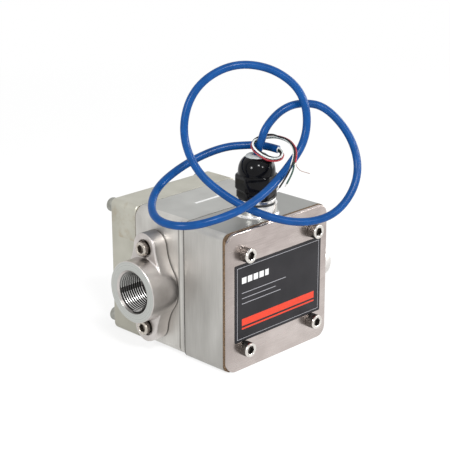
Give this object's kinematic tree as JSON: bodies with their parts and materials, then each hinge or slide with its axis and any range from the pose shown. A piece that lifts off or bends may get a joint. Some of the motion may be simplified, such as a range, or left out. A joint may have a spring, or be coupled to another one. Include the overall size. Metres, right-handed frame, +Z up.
{
  "type": "positive displacement flow meter",
  "caption": "Square-bodied oval gear flow meter with bolted threaded port flanges, a label plate, a cable gland on top and a loose blue signal cable.",
  "frame": {"origin": "on the standing surface, under the middle of the chamber body", "axes": "+X along the flow from the inlet to the outlet, +Y from the label plate towards the rear cover, +Z up towards the cable gland"},
  "size_m": [0.1788, 0.18, 0.2371],
  "materials": {
    "body_metal": "satin machined",
    "cover_cast": "cast and blasted",
    "plate_metal": "brushed",
    "flange_metal": "cast, machined on the mouth",
    "screw_steel": "bright",
    "gasket_cork": "cork and rubber sheet",
    "label_dark": "matt film",
    "seal_rubber": "matt",
    "gland_black": "gloss",
    "gland_ring": "polished",
    "gland_seal": "matt",
    "rotor_plastic": "moulded",
    "bush_carbon": "carbon",
    "magnet_plated": "plated",
    "shaft_steel": "ground",
    "board_green": "lacquered board",
    "terminal_plastic": "moulded",
    "sensor_black": "moulded",
    "cable_blue": "satin jacket",
    "wire_red": "satin",
    "wire_white": "satin",
    "wire_black": "satin",
    "wire_green": "satin"
  },
  "bodies": {
    "meter_body": {"chamber_body": "body_metal", "rear_cover": "cover_cast", "rear_cover_oring": "seal_rubber", "rear_cover_bolts": "screw_steel", "front_housing": "body_metal", "housing_screws": "screw_steel", "cover_gasket": "gasket_cork", "front_cover": "plate_metal", "cover_screws": "screw_steel", "nameplate": "label_dark", "inlet_flange": "flange_metal", "inlet_oring": "seal_rubber", "inlet_flange_screws": "screw_steel", "outlet_flange": "flange_metal", "outlet_oring": "seal_rubber", "outlet_flange_screws": "screw_steel", "gland_washer": "gland_ring", "gland_body": "gland_black", "gland_dome_nut": "gland_black", "gland_seal_insert": "gland_seal", "conduit_plug": "screw_steel", "rotor_shafts": "shaft_steel", "thrust_washers": "bush_carbon", "sensor_board": "board_green", "board_screws": "screw_steel", "terminal_block": "terminal_plastic", "reed_switch": "sensor_black", "hall_sensor": "sensor_black", "signal_cable": "cable_blue", "wire_red": "wire_red", "wire_white": "wire_white", "wire_black": "wire_black", "wire_green": "wire_green"},
    "upper_rotor": {"rotor_upper": "rotor_plastic", "rotor_upper_bush": "bush_carbon", "rotor_upper_magnets": "magnet_plated"},
    "lower_rotor": {"rotor_lower": "rotor_plastic", "rotor_lower_bush": "bush_carbon", "rotor_lower_magnets": "magnet_plated"}
  },
  "joints": [
    {"name": "upper_rotor_spin", "type": "hinge", "parent": "meter_body", "child": "upper_rotor", "pos_m": [0, 0.008, 0.07815], "axis": [0, 1, 0], "continuous": true},
    {"name": "lower_rotor_spin", "type": "hinge", "parent": "meter_body", "child": "lower_rotor", "pos_m": [0, 0.008, 0.03615], "axis": [0, 1, 0], "continuous": true}
  ],
  "couplings": [
    {"joint": "lower_rotor_spin", "follows": "upper_rotor_spin", "ratio": -1}
  ]
}
